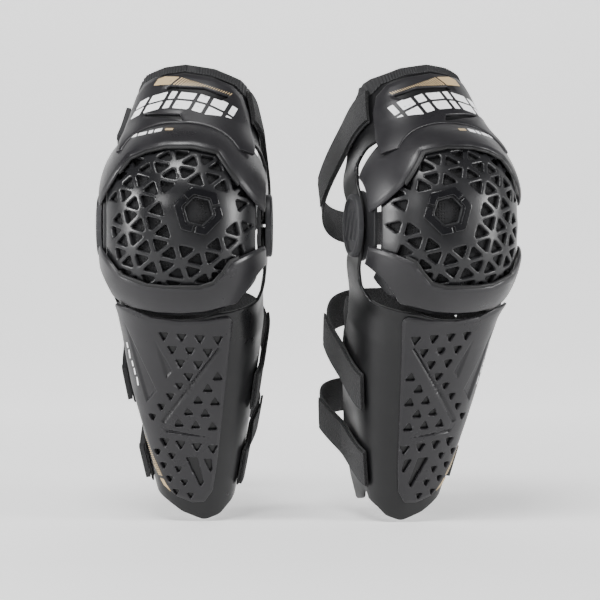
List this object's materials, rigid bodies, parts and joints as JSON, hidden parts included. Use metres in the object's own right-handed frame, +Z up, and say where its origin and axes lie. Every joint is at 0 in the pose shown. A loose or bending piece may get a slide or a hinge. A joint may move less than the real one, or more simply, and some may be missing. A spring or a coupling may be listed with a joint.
{
  "type": "hinged knee and shin guards",
  "caption": "Pair of knee and shin guards with a perforated cup between sliding bands, a thigh cuff and a shin shell on two pivots at each side, and straps behind the leg.",
  "frame": {"origin": "between the two knees, on the level of the hinge centres, in the plane of the pivots", "axes": "+Z up along the guards, +Y towards the back of the legs, +X to the viewer's right from the front"},
  "size_m": [0.4016, 0.2499, 0.4396],
  "materials": {
    "shell_plastic": "satin dark grey moulded plastic",
    "base_plastic": "black moulded plastic",
    "cup_plastic": "satin near-black moulded plastic",
    "strap_fabric": "black loop-faced webbing",
    "liner_foam": "black mesh-covered foam",
    "pin_steel": "plain",
    "print_gold": "gold print",
    "print_white": "white print"
  },
  "bodies": {
    "left_shin": {"left_shin_base": "base_plastic", "left_shin_shell": "shell_plastic", "left_lower_band": "shell_plastic", "left_shin_liner": "liner_foam", "left_upper_calf_strap": "strap_fabric", "left_upper_calf_strap_tab": "strap_fabric", "left_upper_calf_strap_hook": "base_plastic", "left_lower_calf_strap": "strap_fabric", "left_lower_calf_strap_tab": "strap_fabric", "left_lower_calf_strap_hook": "base_plastic"},
    "left_knee": {"left_knee_cup": "cup_plastic", "left_knee_badge": "cup_plastic", "left_knee_liner": "liner_foam", "left_inner_link": "base_plastic", "left_inner_hinge_cap": "base_plastic", "left_inner_upper_pin": "pin_steel", "left_inner_lower_pin": "pin_steel", "left_outer_link": "base_plastic", "left_outer_hinge_cap": "base_plastic", "left_outer_upper_pin": "pin_steel", "left_outer_lower_pin": "pin_steel"},
    "left_thigh": {"left_thigh_base": "base_plastic", "left_thigh_shell": "shell_plastic", "left_upper_band": "shell_plastic", "left_thigh_liner": "liner_foam", "left_thigh_strap": "strap_fabric", "left_thigh_strap_tab": "strap_fabric", "left_thigh_strap_hook": "base_plastic"},
    "right_shin": {"right_shin_base": "base_plastic", "right_shin_shell": "shell_plastic", "right_lower_band": "shell_plastic", "right_shin_liner": "liner_foam", "right_upper_calf_strap": "strap_fabric", "right_upper_calf_strap_tab": "strap_fabric", "right_upper_calf_strap_hook": "base_plastic", "right_lower_calf_strap": "strap_fabric", "right_lower_calf_strap_tab": "strap_fabric", "right_lower_calf_strap_hook": "base_plastic"},
    "right_knee": {"right_knee_cup": "cup_plastic", "right_knee_badge": "cup_plastic", "right_knee_liner": "liner_foam", "right_inner_link": "base_plastic", "right_inner_hinge_cap": "base_plastic", "right_inner_upper_pin": "pin_steel", "right_inner_lower_pin": "pin_steel", "right_outer_link": "base_plastic", "right_outer_hinge_cap": "base_plastic", "right_outer_upper_pin": "pin_steel", "right_outer_lower_pin": "pin_steel"},
    "right_thigh": {"right_thigh_base": "base_plastic", "right_thigh_shell": "shell_plastic", "right_upper_band": "shell_plastic", "right_thigh_liner": "liner_foam", "right_thigh_strap": "strap_fabric", "right_thigh_strap_tab": "strap_fabric", "right_thigh_strap_hook": "base_plastic"}
  },
  "joints": [
    {"name": "guards_apart", "type": "slide", "parent": "left_shin", "child": "right_shin", "axis": [1, 0, 0], "range_m": [0, 0.1]},
    {"name": "left_lower_pivot", "type": "hinge", "parent": "left_shin", "child": "left_knee", "pos_m": [-0.109, 0, -0.0135], "axis": [-0.9994, 0.0349, 0], "range_deg": [-20, 30]},
    {"name": "left_upper_pivot", "type": "hinge", "parent": "left_knee", "child": "left_thigh", "pos_m": [-0.109, 0, 0.0135], "axis": [-0.9994, 0.0349, 0], "range_deg": [-28, 30], "deforming": ["left_thigh_strap", "left_thigh_strap_tab"]},
    {"name": "right_lower_pivot", "type": "hinge", "parent": "right_shin", "child": "right_knee", "pos_m": [0.124, 0, -0.0135], "axis": [-0.9336, -0.3584, 0], "range_deg": [-20, 30]},
    {"name": "right_upper_pivot", "type": "hinge", "parent": "right_knee", "child": "right_thigh", "pos_m": [0.124, 0, 0.0135], "axis": [-0.9336, -0.3584, 0], "range_deg": [-28, 30], "deforming": ["right_thigh_strap", "right_thigh_strap_tab"]}
  ]
}
